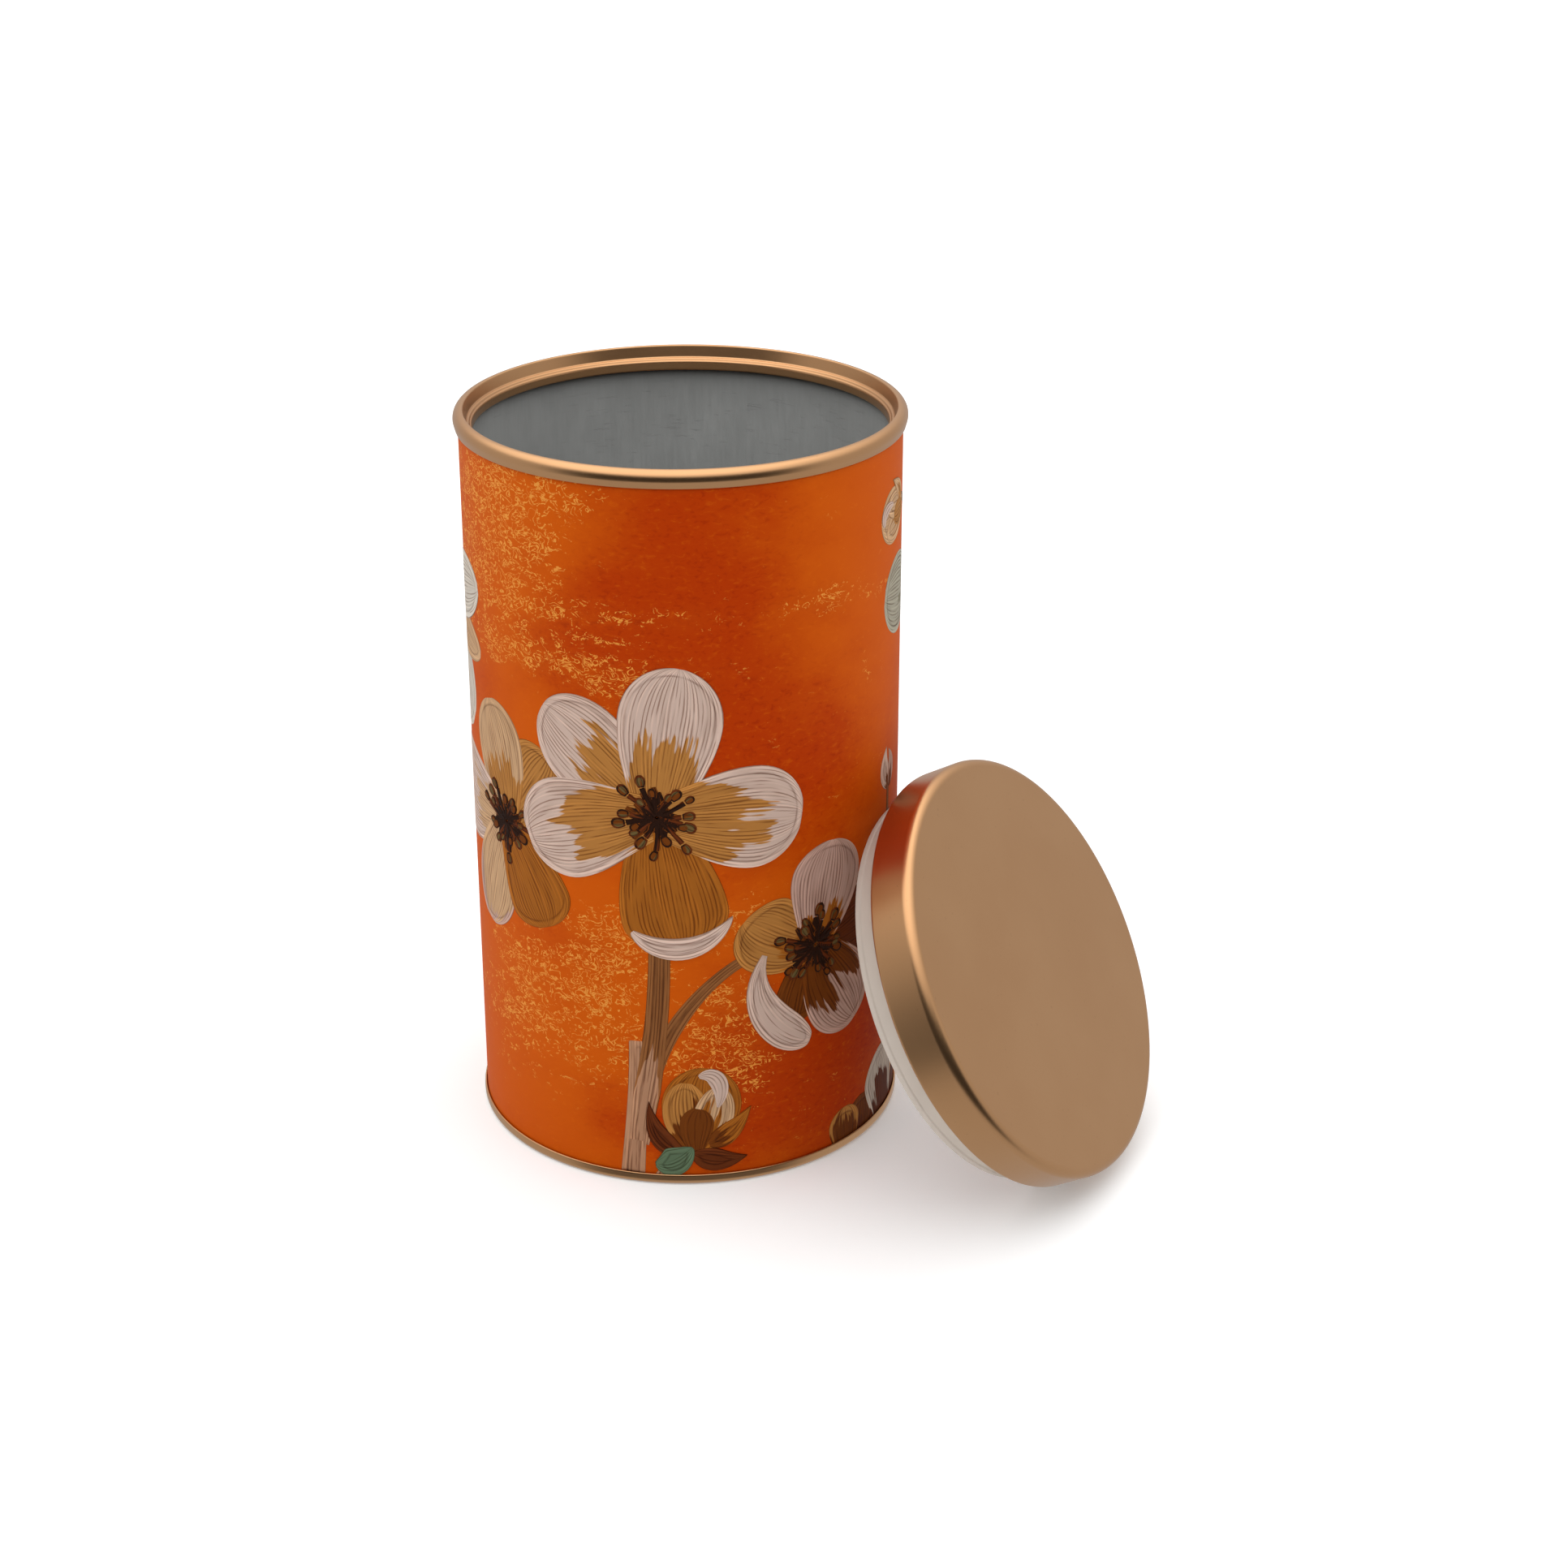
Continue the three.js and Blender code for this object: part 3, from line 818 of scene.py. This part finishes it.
shell_foot, shell_top, shell_middle = ends_along("lid_shell", lid_axis)
lid_origin = shell_middle + lid_axis * (shell_foot - shell_middle @ lid_axis)
lid_side = np.cross((0, 0, 1), lid_axis)
lid_side /= np.linalg.norm(lid_side)
lid_basis = np.stack([lid_side, np.cross(lid_axis, lid_side), lid_axis])


def on_lid(points):
    """Millimetres about the lid's axis, counted from its open edge, as metres in the row's frame."""
    return points * MM @ lid_basis + lid_origin


lid_height = (shell_top - shell_foot) / MM
lid_top = lid_height - GAUGE / 2
lid_outside = wrap_radius - GAUGE / 2
shell_path = [
    (lid_outside - HEM_INSET, HEM_HEIGHT, 0), (lid_outside - HEM_INSET, GAUGE / 2, 0.26),
    (lid_outside, GAUGE / 2, 0.26), (lid_outside, lid_top, LID_SHOULDER), (0, lid_top, 0),
]
shell = turned("lid_shell_sheet", bent(shell_path), copper, on_lid)
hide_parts("lid_shell")
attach(shell, "lid")


# ---- Lid plug --------------------------------------------------------------------------------
# An off-white plastic plug, moulded as a shallow cup and pressed into the cap. Its flange sits just
# inside the cap's open edge, and its lip goes into the ring's collar.

plastic = Look("plug_plastic", Roughness=0.5, Specular_IOR_Level=0.2)
cloudy = plastic.noise(plastic.place((7, 7, 7)), detail=3)
pores = plastic.noise(plastic.place((0.5, 0.5, 0.5)), detail=3)
plastic.paint(Base_Color=plastic.blend(cloudy, ink(200, 188, 176), ink(208, 197, 185)))
plastic.relief(pores, 0.01, 0.4)

PLUG_WALL = 38.35
PLUG_INSIDE = 36.9
PLUG_LIP = 0.2
LIP_HEIGHT = 1.2
LIP_END = 1.5
FLANGE = 40.95
FLANGE_LOW, FLANGE_HIGH = 1.4, 2.45
WEB_LOW, WEB_HIGH = 7.1, 8.3

plug_foot = (ends_along("lid_plug", lid_axis)[0] - shell_foot) / MM
plug_path = [
    (0, WEB_LOW, 0), (PLUG_INSIDE, WEB_LOW, 0.8), (PLUG_INSIDE, plug_foot, 0.5),
    (PLUG_WALL + PLUG_LIP, plug_foot, 0.5), (PLUG_WALL + PLUG_LIP, plug_foot + LIP_HEIGHT, 0.3),
    (PLUG_WALL, plug_foot + LIP_END, 0.3), (PLUG_WALL, FLANGE_LOW, 0.3),
    (FLANGE, FLANGE_LOW, 0.25), (FLANGE, FLANGE_HIGH, 0.25), (PLUG_WALL, FLANGE_HIGH, 0.3),
    (PLUG_WALL, WEB_HIGH, 0.4), (0, WEB_HIGH, 0),
]
plug = turned("lid_plug_moulding", rounded(plug_path), plastic, on_lid)
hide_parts("lid_plug")
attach(plug, "lid")


# ---- Stage -----------------------------------------------------------------------------------
# A plain pale floor, one very broad soft light overhead, a studio that is bright above and dim on the
# camera's side, and a camera that looks down on the open can from in front.

CAMERA_PLACE = (-0.00592, -0.51371, 0.29754)
CAMERA_TILT = 66.216
CAMERA_LENS = 66.97

FLOOR_REACH = 9
OVERHEAD_SPREAD = 90

paper = Look("pale_floor", Roughness=0.9, Specular_IOR_Level=0.1)
paper.paint(Emission_Strength=0.2, Emission_Color=(1, 1, 1, 1))
weave = paper.noise(paper.place((3, 3, 3)), detail=2)
paper.paint(Base_Color=paper.blend(weave, ink(246, 246, 246), ink(249, 249, 249)))
floor_mesh = bpy.data.meshes.new("floor")
floor_corners = [(x * FLOOR_REACH, y * FLOOR_REACH, 0) for x, y in ((-1, -1), (1, -1), (1, 1), (-1, 1))]
floor_mesh.from_pydata(floor_corners, [], [(0, 1, 2, 3)])
floor_mesh.materials.append(paper.material)
floor = bpy.data.objects.new("floor", floor_mesh)
bpy.context.scene.collection.objects.link(floor)
floor.visible_glossy = False

overhead = bpy.data.lights.new("overhead", "SUN")
overhead.energy = 0.6
overhead.angle = math.radians(OVERHEAD_SPREAD)
overhead_lamp = bpy.data.objects.new("overhead", overhead)
overhead_lamp.rotation_euler = Vector((-0.25, 0.1, 1)).to_track_quat("Z", "Y").to_euler()
bpy.context.scene.collection.objects.link(overhead_lamp)


class Sky(Look):
    """The studio's own light, made of the same nodes as a material and seen in every direction."""

    def __init__(self, name):
        self.world = bpy.data.worlds.new(name)
        self.world.use_nodes = True
        self.tree = self.world.node_tree
        self.shader = self.tree.nodes["Background"]

    def toward(self, axis):
        """1 where a ray runs along the axis, 0 across it and -1 against it."""
        direction = self.add("ShaderNodeTexCoord", {}, {}, "Generated")
        return self.add("ShaderNodeSeparateXYZ", {}, {"Vector": direction}, axis)


studio = Sky("studio")
up = studio.toward("Z")
dim = studio.toward("Y").rises(-0.3, -0.68) * up.rises(-0.6, -0.42) * up.rises(0.6, 0.4)
glow = (0.54 + up.rises(0.25, 0.95) * 0.8) * (1 - dim * 0.94)
seen = studio.add("ShaderNodeLightPath", {}, {}, "Is Camera Ray")
studio.paint(Color=(1, 1, 1, 1), Strength=glow * (1 - seen) + seen)
bpy.context.scene.world = studio.world
bpy.context.scene.view_settings.view_transform = "Standard"

camera = bpy.data.cameras.new("camera")
camera.sensor_width = 36
camera.lens = CAMERA_LENS
camera.clip_start = 0.01
camera_object = bpy.data.objects.new("camera", camera)
camera_object.location = CAMERA_PLACE
camera_object.rotation_euler = (math.radians(CAMERA_TILT), 0, 0)
bpy.context.scene.collection.objects.link(camera_object)
bpy.context.scene.camera = camera_object
